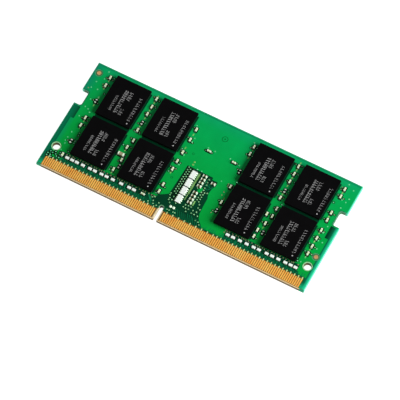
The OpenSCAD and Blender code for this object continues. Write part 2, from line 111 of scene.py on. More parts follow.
def show(name, mesh, material):
    """Makes a piece from a mesh and puts it on the body."""
    mesh.materials.clear()
    mesh.materials.append(material)
    made = bpy.data.objects.new(name, mesh)
    bpy.context.scene.collection.objects.link(made)
    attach(made, BODY)
    return made


class Builder:
    """Collects many small solids, drawn in a face's frame, into one mesh."""

    def __init__(self, face):
        self.face = face
        self.place = Matrix.Identity(4)
        self.points = []
        self.faces = []
        self.smooth = []

    def at(self, x, y, turn=0.0):
        """What is added next is drawn about (x, y), turned by that many degrees."""
        self.place = Matrix.Translation((x, y, 0)) @ Matrix.Rotation(math.radians(turn), 4, "Z")

    def add(self, points, faces, smooth=False):
        start = len(self.points)
        move = self.face @ self.place
        self.points.extend(move @ Vector(p) for p in points)
        self.faces.extend([start + i for i in f] for f in faces)
        self.smooth.extend([smooth] * len(faces))

    def piece(self, name, material, slot="solder_mask", *nodes):
        """Shows what was collected as one piece, which stands for those CAD nodes."""
        mesh = bpy.data.meshes.new(name)
        mesh.from_pydata(self.points, [], self.faces)
        mesh.polygons.foreach_set("use_smooth", self.smooth)
        bm = bmesh.new()
        bm.from_mesh(mesh)
        bmesh.ops.recalc_face_normals(bm, faces=bm.faces)
        bm.to_mesh(mesh)
        bm.free()
        made = show(name, mesh, material)
        if nodes:
            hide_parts(*nodes)


def rounded_box(builder, low, high, radius):
    """A box whose edges and corners are rounded off."""
    low = Vector(low)
    high = Vector(high)
    radius = min(radius, 0.45 * min(high - low))
    inner_low = low + Vector((radius,) * 3)
    inner_high = high - Vector((radius,) * 3)
    steps = [(low[i], inner_low[i], inner_high[i], high[i]) for i in range(3)]
    points = []
    index = {}

    def point(key):
        if key not in index:
            p = Vector([steps[i][key[i]] for i in range(3)])
            core = Vector([min(max(p[i], inner_low[i]), inner_high[i]) for i in range(3)])
            away = p - core
            if away.length > 0:
                p = core + away.normalized() * radius
            index[key] = len(points)
            points.append(p)
        return index[key]

    faces = []
    for axis in range(3):
        for side in (0, 3):
            for i in range(3):
                for j in range(3):
                    square = [(i, j), (i + 1, j), (i + 1, j + 1), (i, j + 1)]
                    keys = [pair[:axis] + (side,) + pair[axis:] for pair in square]
                    faces.append([point(key) for key in keys])
    builder.add(points, faces)


def bridge(builder, first, second):
    """A solid between two outlines that have equally many points."""
    n = len(first)
    sides = [(i, (i + 1) % n, n + (i + 1) % n, n + i) for i in range(n)]
    builder.add(first + second, [range(n), range(n, 2 * n)] + sides)


def prism(builder, outline, low, high):
    """An outline raised into a solid."""
    bridge(builder, [(x, y, low) for x, y in outline], [(x, y, high) for x, y in outline])


def plate(builder, low, high, z, cut=0.3):
    """A thin plate from z[0] up to z[1], whose corners are cut by a share of its width."""
    x0, y0 = low
    x1, y1 = high
    c = cut * min(x1 - x0, y1 - y0)
    outline = [(x0 + c, y0), (x1 - c, y0), (x1, y0 + c), (x1, y1 - c),
               (x1 - c, y1), (x0 + c, y1), (x0, y1 - c), (x0, y0 + c)]
    prism(builder, outline, z[0], z[1])


def strip(builder, points, width, rise=TRACE_RISE):
    """A covered trace: a low strip on the film that follows a line of points."""
    half = width / 2
    overlap = half * 0.6
    for start, end in zip(points, points[1:]):
        step = Vector(end) - Vector(start)
        turn = math.degrees(math.atan2(step.y, step.x))
        builder.at(start[0], start[1], turn)
        plate(builder, (-overlap, -half), (step.length + overlap, half), (sunk, mask_top + rise))


def lathe(builder, profile, segments, smooth=True):
    """A solid of revolution about z.

    Its profile of (radius, z) runs from axis to axis, or back to where it starts.
    """
    points = []
    rings = []
    for radius, z in profile:
        start = len(points)
        if radius == 0:
            points.append((0, 0, z))
            rings.append([start] * segments)
        else:
            for i in range(segments):
                a = 2 * math.pi * i / segments
                points.append((radius * math.cos(a), radius * math.sin(a), z))
            rings.append([start + i for i in range(segments)])
    faces = []
    for low, high in zip(rings, rings[1:]):
        for i in range(segments):
            j = (i + 1) % segments
            corners = [low[i], low[j], high[j], high[i]]
            faces.append(list(dict.fromkeys(corners)))
    builder.add(points, faces, smooth)


# ---- Materials ----

# Sockets of a Mix node that hold colours: the two inputs and the result
MIX_A = 6
MIX_B = 7
MIX_RESULT = 2
# How far apart a wave texture's bands are at scale 1
WAVE_BAND = 0.314


def fill(node, **values):
    """Sets inputs of a node. An underscore stands for a space in their names."""
    for key, value in values.items():
        node.inputs[key.replace("_", " ")].default_value = value


class Nodes:
    """A short way to wire a material's nodes. Their coordinates are in metres."""

    def __init__(self, name):
        self.material = bpy.data.materials.new(name)
        self.material.use_nodes = True
        self.tree = self.material.node_tree
        self.shader = self.tree.nodes["Principled BSDF"]
        self.where = self.tree.nodes.new("ShaderNodeTexCoord").outputs["Object"]

    def new(self, kind, **settings):
        made = self.tree.nodes.new(kind)
        for key, value in settings.items():
            setattr(made, key, value)
        return made

    def link(self, a, b):
        self.tree.links.new(a, b)

    def stretched(self, scale):
        """Object coordinates times a scale for each axis."""
        mapping = self.new("ShaderNodeMapping")
        fill(mapping, Scale=scale)
        self.link(self.where, mapping.inputs["Vector"])
        return mapping.outputs["Vector"]

    def noise(self, grain, detail=3.0, stretch=(1, 1, 1)):
        """Noise with features of that many millimetres."""
        made = self.new("ShaderNodeTexNoise")
        fill(made, Scale=1 / (grain * MM), Detail=detail, Roughness=0.55)
        self.link(self.stretched(stretch), made.inputs["Vector"])
        return made.outputs["Fac"]

    def wave(self, period, axis, distortion):
        """Soft bands across one axis, that many millimetres apart."""
        made = self.new("ShaderNodeTexWave", wave_type="BANDS", bands_direction=axis)
        fill(made, Scale=WAVE_BAND / (period * MM), Distortion=distortion, Detail=1.0)
        self.link(self.where, made.inputs["Vector"])
        return made.outputs["Fac"]

    def maths(self, operation, a, b):
        made = self.new("ShaderNodeMath", operation=operation)
        for socket, value in zip(made.inputs, (a, b)):
            if isinstance(value, (int, float)):
                socket.default_value = value
            else:
                self.link(value, socket)
        return made.outputs["Value"]

    def blend(self, a, share, b):
        """A share of one factor and the rest of another."""
        rest = self.maths("MULTIPLY", b, 1 - share)
        return self.maths("ADD", self.maths("MULTIPLY", a, share), rest)

    def ramp(self, fac, *stops):
        """Colours at places along a factor, as (place, (r, g, b))."""
        made = self.new("ShaderNodeValToRGB")
        elements = made.color_ramp.elements
        while len(elements) < len(stops):
            elements.new(0.5)
        for element, (place, colour) in zip(elements, stops):
            element.position = place
            element.color = (*colour, 1)
        self.link(fac, made.inputs["Fac"])
        return made.outputs["Color"]

    def mapped(self, value, start, end, low=0.0, high=1.0):
        """Maps start..end to low..high."""
        made = self.new("ShaderNodeMapRange")
        fill(made, From_Min=start, From_Max=end, To_Min=low, To_Max=high)
        self.link(value, made.inputs["Value"])
        return made.outputs["Result"]

    def spread(self, fac, low, high):
        """Maps the middle range of a factor to low..high."""
        return self.mapped(fac, 0.3, 0.7, low, high)

    def mix(self, fac, a, b):
        """Goes from colour a to colour b; each is a constant or an output."""
        made = self.new("ShaderNodeMix", data_type="RGBA")
        self.link(fac, made.inputs["Factor"])
        for socket, value in zip((made.inputs[MIX_A], made.inputs[MIX_B]), (a, b)):
            if isinstance(value, tuple):
                socket.default_value = (*value, 1)
            else:
                self.link(value, socket)
        return made.outputs[MIX_RESULT]

    def shade(self, colour, fac, low, high):
        """Multiplies a colour by a grey that follows a factor."""
        grey = self.ramp(fac, (0.25, (low,) * 3), (0.75, (high,) * 3))
        made = self.new("ShaderNodeMix", data_type="RGBA", blend_type="MULTIPLY")
        fill(made, Factor=1.0)
        self.link(colour, made.inputs[MIX_A])
        self.link(grey, made.inputs[MIX_B])
        return made.outputs[MIX_RESULT]

    def place(self, axis):
        """The place along an axis, in metres."""
        split = self.new("ShaderNodeSeparateXYZ")
        self.link(self.where, split.inputs["Vector"])
        return split.outputs[axis]

    def from_plane(self, axis, centre):
        """The distance to either side of a plane across an axis, in metres."""
        return self.maths("ABSOLUTE", self.maths("SUBTRACT", self.place(axis), centre), 0.0)

    def from_short_edges(self):
        """The distance from the nearer short edge."""
        return self.maths("SUBTRACT", half_l, self.from_plane("X", 0.0))

    def from_contact_edge(self):
        return self.maths("SUBTRACT", self.place("Y"), low_y)

    def from_slot(self):
        """The distance from the middle of the key slot, which is a line with a round end."""
        aside = self.from_plane("X", slot_x)
        beyond = self.maths("MAXIMUM", self.maths("SUBTRACT", self.place("Y"), slot_end), 0.0)
        aside_squared = self.maths("MULTIPLY", aside, aside)
        beyond_squared = self.maths("MULTIPLY", beyond, beyond)
        return self.maths("SQRT", self.maths("ADD", aside_squared, beyond_squared), 0.0)

    def turn_to(self, first, second, distance, start, end):
        """Goes from one colour to another as a distance runs from start to end, in millimetres."""
        return self.mix(self.mapped(distance, start * MM, end * MM), first, second)

    def bump(self, height, depth):
        """Relief of that many millimetres."""
        made = self.new("ShaderNodeBump")
        fill(made, Distance=depth * MM)
        self.link(height, made.inputs["Height"])
        self.link(made.outputs["Normal"], self.shader.inputs["Normal"])

    def colour(self, output):
        self.link(output, self.shader.inputs["Base Color"])

    def roughness(self, output):
        self.link(output, self.shader.inputs["Roughness"])


def film(n):
    """Finish of the green film: smooth, with the faint weave of the cloth under it."""
    cloth = n.maths("MULTIPLY", n.wave(0.42, "X", 0.6), n.wave(0.5, "Y", 0.6))
    cloud = n.noise(3.5, 4)
    n.roughness(n.spread(n.noise(0.8), 0.30, 0.42))
    n.bump(n.maths("ADD", cloth, n.noise(0.3, 2)), 0.002)
    fill(n.shader, IOR=1.5, Specular_IOR_Level=0.02)
    return n.blend(cloth, 0.15, cloud)


def film_on_laminate():
    """Dark green, paler around the key slot. Towards the side edges, the corners at the contact edge
    and most of all the right edge it brightens into a painted highlight.
    """
    n = Nodes("green_film_on_laminate")
    fac = film(n)
    side = n.from_short_edges()
    edge = n.from_contact_edge()
    slot = n.from_slot()
    right_edge = n.maths("SUBTRACT", half_l, n.place("X"))
    margin = n.turn_to((0.0004, 0.122, 0.046), (0.0004, 0.036, 0.013), n.place("X"), 0.0, 1.0)
    tone = n.turn_to((0.0004, 0.050, 0.019), margin, side, 2.2, 1.2)
    # Painted highlight towards the side edges
    tone = n.turn_to(tone, (0.004, 0.34, 0.18), side, 0.9, 0.0)
    tone = n.turn_to(tone, (0.0004, 0.080, 0.028), edge, 4.3, 3.9)
    # Painted highlight towards the side edges, the corners at the contact edge and most of all the
    # right edge
    tone = n.turn_to(tone, (0.001, 0.16, 0.07), side, 1.6, 0.6)
    tone = n.turn_to(tone, (0.004, 0.44, 0.18), edge, 2.0, 0.7)
    tone = n.turn_to(tone, (0.02, 0.76, 0.36), right_edge, 0.8, 0.1)
    tone = n.turn_to(tone, (0.02, 0.17, 0.07), slot, slot_r + 0.3, slot_r + 0.15)
    n.colour(n.shade(tone, fac, 0.8, 1.15))
    return n.material


def film_on_copper():
    """Bright green, a little bluer towards the left edge; bluer towards the far edge, which is a
    painted reflection.
    """
    n = Nodes("green_film_on_copper")
    fac = film(n)
    across = n.maths("DIVIDE", n.from_contact_edge(), -2 * low_y)
    # The bluer end of this ramp, at the far edge, is a painted reflection
    tone = n.ramp(across, (0.2, (0.0004, 0.35, 0.044)), (0.6, (0.0004, 0.385, 0.065)),
                  (0.9, (0.0004, 0.395, 0.090)), (1.0, (0.003, 0.38, 0.135)))
    dark_line = n.from_plane("Y", -low_y - 0.48 * MM)
    tone = n.turn_to(tone, (0.001, 0.19, 0.08), dark_line, 0.12, 0.04)
    left_edge = n.maths("ADD", n.place("X"), half_l)
    tone = n.turn_to(tone, (0.003, 0.27, 0.13), left_edge, 2.5, 0.4)
    n.colour(n.shade(tone, fac, 0.9, 1.06))
    return n.material


def film_material(name, dark, light):
    """The same film over a via or a trace."""
    n = Nodes("green_film_" + name)
    film(n)
    n.colour(n.ramp(n.noise(0.5, 3), (0.3, dark), (0.7, light)))
    return n.material


def laminate_material():
    """Glass-epoxy: brown between the contacts, green at the sides, pale and layered in the walls. Light
    and shade are painted into the walls and into the rims at the edges.
    """
    n = Nodes("glass_epoxy")
    layers = n.wave(0.16, "Z", 0.4)
    fibres = n.noise(0.25, 5, (1, 1, 4))
    fac = n.blend(layers, 0.45, fibres)
    middle = n.from_plane("Z", (upper_z + lower_z) / 2)
    centre = n.from_plane("X", 0.0)
    side = n.from_short_edges()
    edge = n.from_contact_edge()
    slot = n.from_slot()
    # Walls of the key slot, of the holes and the notches, then of the outline
    # The slot's straight walls are pale; its round end is painted near black as shadow
    slot_walls = n.turn_to((0.72, 0.62, 0.42), (0.01, 0.012, 0.006), edge, 3.5, 3.65)
    # Holes and notches get dark green and brown walls: partly the laminate's colour, partly painted
    # shade in these recesses
    side_walls = n.turn_to((0.07, 0.20, 0.10), (0.13, 0.075, 0.022), edge, 7.2, 7.1)
    walls = n.turn_to(slot_walls, side_walls, centre, 5.0, 6.0)
    # Painted highlight: the walls at the side edges turn bright cyan-green
    walls = n.turn_to(walls, (0.16, 0.75, 0.50), side, 0.6, 0.3)
    # The front wall is painted dark brown as shade; its chamfers above and below are pale
    bevel = n.turn_to((0.13, 0.10, 0.05), (0.92, 0.68, 0.36), middle, 0.30, 0.36)
    bevel = n.turn_to(bevel, (0.02, 0.40, 0.20), side, 1.4, 1.0)
    walls = n.turn_to(bevel, walls, edge, 0.32, 0.45)
    # Bare rims of the two faces, seen where the film stops
    beside_slot = (0.78, 0.66, 0.38)
    between_contacts = n.turn_to((0.20, 0.080, 0.010), beside_slot, slot, slot_r + 0.35, slot_r + 0.2)
    rim = n.turn_to((0.25, 0.48, 0.27), (0.08, 0.42, 0.24), centre, 5.0, 6.0)
    face = n.turn_to(between_contacts, rim, edge, 2.9, 3.0)
    # Painted highlight along the side edges and the far edge
    face = n.turn_to(face, (0.10, 0.70, 0.45), side, 0.35, 0.2)
    far_edge = n.maths("SUBTRACT", -low_y, n.place("Y"))
    face = n.turn_to(face, (0.16, 0.70, 0.45), far_edge, 0.35, 0.2)
    tone = n.turn_to(walls, face, middle, 0.55, 0.56)
    n.colour(n.shade(tone, fac, 0.75, 1.1))
    n.roughness(n.spread(fibres, 0.5, 0.75))
    n.bump(fac, 0.008)
    fill(n.shader, IOR=1.5, Specular_IOR_Level=0.2)
    return n.material


def metal_material(name, dark, light, rough, grain=0.4, stretch=(1, 1, 1), metallic=1.0):
    """A plated metal with fine marks and a slow drift in its colour."""
    n = Nodes(name)
    marks = n.noise(grain, 5, stretch)
    drift = n.noise(grain * 8, 2)
    n.colour(n.ramp(n.blend(marks, 0.55, drift), (0.35, dark), (0.62, light)))
    n.roughness(n.spread(n.noise(grain * 0.6, 3, stretch), rough - 0.06, rough + 0.1))
    n.bump(marks, 0.002)
    fill(n.shader, Metallic=metallic)
    return n.material


def matt_material(name, dark, light, rough=0.5, grain=0.1, relief=0.002, specular=0.2):
    """A dull solid with a grain and a relief of that many millimetres."""
    n = Nodes(name)
    fine = n.noise(grain, 4)
    broad = n.noise(grain * 25, 3)
    n.colour(n.ramp(n.blend(fine, 0.6, broad), (0.3, dark), (0.7, light)))
    n.roughness(n.spread(fine, rough - 0.08, rough + 0.08))
    n.bump(fine, relief)
    fill(n.shader, IOR=1.5, Specular_IOR_Level=specular)
    return n.material


MASK_BARE = film_on_laminate()
MASK_COPPER = film_on_copper()
MASK_VIA = film_material("on_via", (0.06, 0.50, 0.20), (0.20, 0.76, 0.38))
MASK_FIELD_VIA = film_material("on_field_via", (0.12, 0.44, 0.17), (0.34, 0.72, 0.36))
MASK_LINK = film_material("on_link", (0.14, 0.42, 0.08), (0.34, 0.66, 0.22))
MASK_TRACE = film_material("on_trace", (0.001, 0.12, 0.045), (0.004, 0.24, 0.085))
MASK_FAN = film_material("on_fan", (0.001, 0.125, 0.043), (0.003, 0.21, 0.075))
MASK_SHADE = film_material("under_fan", (0.0004, 0.038, 0.014), (0.0006, 0.052, 0.020))
MASK_EXIT = film_material("on_gold", (0.42, 0.60, 0.20), (0.70, 0.84, 0.42))
MASK_BUS = film_material("on_bus", (0.11, 0.31, 0.06), (0.28, 0.54, 0.19))
# Near black, darker than the bare film: gaps in the copper, and around the parts and near the packages
# a painted shadow
MASK_GAP_AND_SHADOW = film_material("in_gap_and_shadow", (0.0002, 0.002, 0.0006), (0.0004, 0.008, 0.002))
MASK_GROUND = film_material("on_ground", (0.0003, 0.010, 0.003), (0.0006, 0.026, 0.009))
MASK_SIGN = film_material("on_sign", (0.0004, 0.15, 0.025), (0.0006, 0.19, 0.035))
BROWN_VIA = matt_material("plugged_via", (0.12, 0.18, 0.08), (0.34, 0.38, 0.20), rough=0.4)
BARE_RING = matt_material("bare_glass_epoxy", (0.045, 0.14, 0.05), (0.08, 0.23, 0.085), rough=0.6,
                          relief=0.003)
LAMINATE = laminate_material()
GOLD = metal_material("gold_plating", (0.92, 0.33, 0.026), (1.0, 0.58, 0.105), 0.42,
                      grain=0.3, stretch=(3, 0.5, 1), metallic=0.3)
COPPER = metal_material("bare_copper", (0.58, 0.31, 0.14), (0.86, 0.48, 0.23), 0.5)
RING = matt_material("pale_ring", (0.27, 0.62, 0.28), (0.48, 0.86, 0.46), specular=0.5)
TIN = metal_material("tin_plating", (0.74, 0.98, 0.70), (0.92, 1.0, 0.86), 0.40, metallic=0.1)
SOLDER = metal_material("solder", (0.50, 0.66, 0.48), (0.80, 1.0, 0.76), 0.34, metallic=0.4)
MOULD = matt_material("moulded_epoxy", (0.0012, 0.0012, 0.0014), (0.0030, 0.0028, 0.0032), rough=0.6,
                      grain=0.06, relief=0.003, specular=0.04)
MARK = matt_material("laser_mark", (0.34, 0.34, 0.34), (0.72, 0.72, 0.72), rough=0.8, grain=0.12)
SUBSTRATE = matt_material("package_board", (0.004, 0.02, 0.01), (0.01, 0.04, 0.02))
SILICON = metal_material("ground_silicon", (0.28, 0.30, 0.34), (0.40, 0.42, 0.46), 0.3)
CREAM = matt_material("cream_ceramic", (0.50, 0.60, 0.30), (0.80, 0.92, 0.56), grain=0.05, specular=0.3)
TAN = matt_material("tan_ceramic", (0.13, 0.12, 0.055), (0.55, 0.51, 0.31))
BROWN = matt_material("brown_ceramic", (0.05, 0.04, 0.015), (0.26, 0.20, 0.09))
WHITE = matt_material("white_alumina", (0.86, 0.92, 0.88), (0.93, 0.98, 0.95), grain=0.08, specular=0.3)
GLAZE = matt_material("black_glaze", (0.004, 0.004, 0.005), (0.01, 0.01, 0.012), rough=0.35, grain=0.05)

# ---- Board ----

FACES = (("upper", UPPER), ("lower", LOWER))


def paint(node, material):
    """Gives a CAD node its material."""
    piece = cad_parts[node]
    piece.data.materials.clear()
    piece.data.materials.append(material)


def paint_board():
    for node in ("board_core", "upper_prepreg", "lower_prepreg"):
        paint(node, LAMINATE)
    for node in ("ground_plane", "power_plane", "upper_copper", "lower_copper"):
        paint(node, COPPER)
    for side, _ in FACES:
        paint(side + "_solder_mask", MASK_BARE)
        paint(side + "_hole_rings", RING)
        paint(side + "_fiducials", COPPER)
        paint(side + "_memory_substrates", SUBSTRATE)
        paint(side + "_memory_dies", SILICON)
    paint("spd_pads", TIN)


def film_over_copper(side, face):
    """The part of the green film that the copper areas lift: it follows their outline."""
    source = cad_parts[side + "_copper"].data
    to_face = face.inverted()
    mesh = source.copy()
    copper_low = min((to_face @ v.co).z for v in mesh.vertices)
    for v in mesh.vertices:
        p = to_face @ v.co
        p.z = sunk if p.z < copper_low / 2 else mask_top + COPPER_RISE
        v.co = face @ p
    show(side + "_masked_copper", mesh, MASK_COPPER)


def contacts(side, face):
    """Each contact is a low gold bar with rounded edges."""
    rounding = 0.016
    for row in ("short", "long"):
        node = f"{side}_{row}_contacts"
        builder = Builder(face)
        for low, high in islands(node, face):
            rounded_box(builder, low, high, rounding)
        builder.piece(node + "_plated", GOLD, "gold_plating", node)


# ---- Memory packages ----

# A package's laser marks, as rows that run up the package: distance of the row's middle
# from the package's left edge, height of the marks, where the row starts and ends, the
# pitch of the marks and the width of their bars
MARK_ROWS = (
    (2.40, 0.62, 2.2, 6.6, 0.55, 0.055),
    (3.88, 0.92, 2.1, 8.7, 0.60, 0.082),
    (5.08, 0.86, 2.1, 3.8, 0.60, 0.058),
    (5.08, 0.86, 6.3, 8.6, 0.60, 0.058),
    (7.75, 0.78, 1.6, 8.3, 0.68, 0.052),
)
# How far aside the marks of each package sit
MARK_SHIFTS = (0.15, -0.1, -0.3, 0.05, 0.15, 0.0, -0.1, 0.15)
# Plain signs made of bars: where each bar starts and ends, as shares of the marks' height,
# and where it stands, as a share of a sign's width
SIGN_W = 0.4
SIGNS = (
    ((0.0, 1.0, 0.0), (0.0, 1.0, 0.7)),
    ((0.0, 1.0, 0.1), (0.0, 0.3, 0.7), (0.6, 0.8, 0.7)),
    ((0.0, 0.4, 0.0), (0.6, 1.0, 0.35), (0.0, 0.4, 0.7)),
    ((0.1, 0.9, 0.35), (0.0, 0.25, 0.0), (0.75, 1.0, 0.7)),
    ((0.0, 0.45, 0.1), (0.0, 1.0, 0.65)),
    ((0.0, 0.25, 0.0), (0.4, 0.6, 0.35), (0.75, 1.0, 0.7), (0.0, 0.25, 0.7)),
)
# The dot's place from the package's lower left corner
DOT_PLACE = (7.80, 0.85)
DOT_R = 0.15
# The caps are lower by this much, so that the marks on them reach the CAD's top
MARK_T = 0.006
PACKAGES = range(1, 9)


def package_caps(side, face):
    """The moulded caps: sharp sawn sides with the edges just broken."""
    for index in PACKAGES:
        node = f"{side}_memory_{index}"
        low, high = islands(node, face)[0]
        high.z = package_top - MARK_T
        builder = Builder(face)
        rounded_box(builder, low, high, 0.035)
        builder.piece(f"{side}_memory_cap_{index}", MOULD, "mould_compound", node)


def package_marks(side, face):
    """Rows of plain barred signs, and the dot that shows which corner is first."""
    draw = random.Random(7)
    builder = Builder(face)
    low_z = package_top - 2 * MARK_T
    for index, shift in zip(PACKAGES, MARK_SHIFTS):
        low = islands(f"{side}_memory_{index}", face)[0][0]
        left = low.x + shift
        for middle, height, start, end, pitch, line in MARK_ROWS:
            for step in range(round((end - start) / pitch)):
                builder.at(left + middle - height / 2, low.y + start + step * pitch)
                for first, last, share in draw.choice(SIGNS):
                    place = share * SIGN_W
                    plate(builder, (height * first, place), (height * last, place + line),
                          (low_z, package_top), 0.25)
        builder.at(left + DOT_PLACE[0], low.y + DOT_PLACE[1])
        lathe(builder, ((0, low_z), (DOT_R, low_z), (DOT_R, package_top - MARK_T / 2),
                        (DOT_R * 0.8, package_top), (0, package_top)), 20, False)
    builder.piece(side + "_memory_marks", MARK, "mould_compound")


def solder_balls(side, face):
    """Each ball is a sphere pressed flat between the board and the package."""
    node = side + "_solder_balls"
    builder = Builder(face)
    for low, high in islands(node, face):
        middle = (low + high) / 2
        builder.at(middle.x, middle.y)
        half = (high.z - low.z) / 2
        belly = (high.x - low.x) / 2
        neck = belly * 0.8
        lathe(builder, ((0, low.z), (neck, low.z), (belly, low.z + half * 0.7),
                        (belly, low.z + half * 1.3), (neck, high.z), (0, high.z)), 10)
    builder.piece(side + "_solder_ball_grid", SOLDER, "solder", node)


# ---- Small parts ----

# The open field, where the capacitors are brown, with wide solder and narrow gaps: from and
# to along the board, and its far limit across it
FIELD = (35.0, 39.5, 15.5)
# How far the near-black painted shadow reaches around a part, elsewhere and in the open field
PART_GAP = 0.17
FIELD_PART_GAP = 0.06
# How much wider than its part the solder is, and how far it reaches out and in
SOLDER_SIZE = (0.0, 0.07, 0.03)
FIELD_SOLDER_SIZE = (0.26, 0.13, 0.16)
# Solder climbs to this share of the height of a two-ended part and of an array
SOLDER_CLIMB = 0.7
ARRAY_SOLDER_CLIMB = 0.75


def in_open_field(point):
    return FIELD[0] < point.x < FIELD[1] and point.y < FIELD[2]


def shadow_gap_around(builder, low, high, margin=PART_GAP):
    """A near-black plate around a part: the gap that the copper leaves, darkened into a painted shadow.
    """
    builder.at(0, 0)
    plate(builder, (low.x - margin, low.y - margin), (high.x + margin, high.y + margin),
          (sunk, mask_top + TRACE_RISE), 0.25)


def two_end_parts(face, body_node, end_node, body_name, material, slot, field_material=None):
    """Chip capacitors and resistors: a ceramic body, two plated ends and their solder.

    Each part is drawn along x about its middle, a little shy of its CAD solids at the sides.
    Its ends stand over the CAD body's top by their plating.
    """
    shy = 0.025
    plating = 0.02
    body_inset = (0.03, 0.012)
    end_l = min(min(high.x - low.x, high.y - low.y) for low, high in islands(end_node, face))
    bodies = Builder(face)
    field_bodies = Builder(face)
    ends = Builder(face)
    fillets = Builder(face)
    gaps = Builder(face)
    for low, high in islands(body_node, face):
        size = high - low
        middle = (low + high) / 2
        turn = 90 if size.y > size.x else 0
        half_length = (max(size.x, size.y) - shy) / 2
        half_width = min(size.x, size.y) / 2 - shy
        top = high.z + plating
        in_field = field_material and in_open_field(middle)
        wider, reach, inward = FIELD_SOLDER_SIZE if in_field else SOLDER_SIZE
        shadow_gap_around(gaps, low, high, FIELD_PART_GAP if in_field else PART_GAP)
        body = field_bodies if in_field else bodies
        for builder in (body, ends, fillets):
            builder.at(middle.x, middle.y, turn)
        x = half_length - body_inset[0]
        y = half_width - body_inset[1]
        rounded_box(body, (-x, -y, mask_top), (x, y, top - body_inset[1]), 0.03)
        for sign in (-1, 1):
            inner = sign * (half_length - end_l)
            outer = sign * half_length
            rounded_box(ends, (min(inner, outer), -half_width, mask_top),
                        (max(inner, outer), half_width, top), 0.05)
            solder_fillet(fillets, outer, sign, 2 * half_width + wider, top * SOLDER_CLIMB,
                          reach, inward)
    bodies.piece(body_name, material, slot, body_node)
    if field_bodies.points:
        field_bodies.piece(body_name + "_brown", field_material, slot)
    ends.piece(body_name + "_ends", TIN, "tinned_terminal", end_node)
    fillets.piece(body_name + "_solder", SOLDER, "solder")
    gaps.piece(body_name + "_gaps", MASK_GAP_AND_SHADOW)


def solder_fillet(builder, x, sign, width, height, reach, inward=0.03):
    """A concave ramp of solder from a land up the end of a part.

    The end stands at x and faces along the sign. The solder reaches out from it and inward.
    """
    steps = 5
    curve = []
    for i in range(steps + 1):
        a = math.pi / 2 * i / steps
        out = reach * (1 - math.cos(a))
        curve.append((x + sign * out, mask_top + (height - mask_top) * (1 - math.sin(a))))
    inside = x - sign * inward
    section = [(inside, sunk), (inside, height)] + curve
    section.append((x + sign * reach, sunk))
    half = width / 2 - 0.01
    bridge(builder, [(px, -half, pz) for px, pz in section], [(px, half, pz) for px, pz in section])


def array_parts(face, body_node, end_node, name, reaches, bulges):
    """Resistor arrays: a white ceramic block with plated ends along two sides.

    The solder reaches, and the ends bulge, that far on the low side and on the high side.
    """
    lift = 0.004
    bodies = Builder(face)
    gaps = Builder(face)
    ends = Builder(face)
    fillets = Builder(face)
    blocks = islands(body_node, face)
    for low, high in blocks:
        rounded_box(bodies, low, high, 0.04)
        shadow_gap_around(gaps, low, high)
    for low, high in islands(end_node, face):
        middle = (low + high) / 2
        block = min(blocks, key=lambda b: ((b[0] + b[1]) / 2 - middle).length)
        centre = (block[0] + block[1]) / 2
        size = block[1] - block[0]
        along = 0 if size.x > size.y else 1
        across = 1 - along
        edge = 1 if middle[across] > centre[across] else 0
        sign = 1 if edge else -1
        bounds = Vector(low), Vector(high)
        bounds[edge][across] += sign * bulges[edge]
        bounds[1].z += lift
        rounded_box(ends, bounds[0], bounds[1], 0.03)
        fillets.at(middle.x, middle.y, 0 if along else 90)
        half = (high[across] - low[across]) / 2
        width = high[along] - low[along]
        solder_fillet(fillets, sign * half, sign, width, high.z * ARRAY_SOLDER_CLIMB, reaches[edge])
    bodies.piece(name, WHITE, "white_ceramic", body_node)
    gaps.piece(name + "_gaps", MASK_GAP_AND_SHADOW)
    ends.piece(name + "_ends", TIN, "tinned_terminal", end_node)
    fillets.piece(name + "_solder", SOLDER, "solder")


def small_parts():
    for side, face in FACES:
        two_end_parts(face, side + "_capacitor_bodies", side + "_capacitor_terminals",
                      side + "_capacitors", CREAM, "capacitor_ceramic", BROWN)
        two_end_parts(face, side + "_calibration_resistors", side + "_calibration_terminals",
                      side + "_calibration_parts", GLAZE, "resistor_glaze")
        array_parts(face, side + "_resistor_pairs", side + "_resistor_pair_terminals",
                    side + "_resistor_pair_blocks", (0.07, 0.07), (0.015, 0.015))
    two_end_parts(UPPER, "bulk_capacitor_body", "bulk_capacitor_terminals",
                  "bulk_capacitor", TAN, "capacitor_ceramic")
    array_parts(UPPER, "resistor_quads", "resistor_quad_terminals", "resistor_quad_blocks",
                (0.24, 0.32), (0.11, 0.05))


def configuration_memory():
    low, high = islands("spd_body", LOWER)[0]
    builder = Builder(LOWER)
    rounded_box(builder, low, high, 0.04)
    builder.piece("spd_cap", MOULD, "mould_compound", "spd_body")


# ---- Vias and traces ----


def via(builder, x, y, radius):
    """A covered via: a low ring with a dimple in the middle."""
    top = mask_top + 0.03
    dimple = 0.018
    builder.at(x, y)
    lathe(builder, ((0, sunk), (radius, sunk), (radius, top - 0.012), (radius * 0.8, top),
                    (radius * 0.5, top), (radius * 0.25, top - 0.015), (0, top - dimple)), 12)


def ring(builder, x, y, inner, outer, top):
    """A flat ring on the film, or a disc where the inner radius is 0."""
    builder.at(x, y)
    profile = [(inner, sunk), (outer, sunk), (outer, top), (inner, top)]
    if inner:
        profile.append((inner, sunk))
    lathe(builder, profile, 20, False)


# Radii of the vias: in the margins, beside the parts, plugged ones, in rows, and pale ones
MARGIN_VIA_R = 0.18
PART_VIA_R = 0.15
PLUGGED_VIA_R = 0.17
ROW_VIA_R = 0.16
PALE_VIA_R = 0.24
# Radius of the gap in the copper around a via of the open field
FIELD_VIA_GAP_R = 0.31
# Vias this close to a package, or in the left corner, stand in a near-black round gap of the copper;
# near the packages it is a painted shadow
NEAR_PACKAGE = 0.9
CORNER_VIAS = (4.5, 5.0)
PART_VIA_GAP_R = 0.33
CORNER_VIA_GAP_R = 0.42
# Small vias beside the parts: share of the places that hold one, how far aside and how far
# up or down they stand from the part's middle, and their room to packages and parts
PART_VIA_SHARE = 0.65
PART_VIA_ASIDE = (0.62, 0.85)
PART_VIA_SHIFT = 0.5
PACKAGE_ROOM = 0.1
PART_ROOM = 0.25

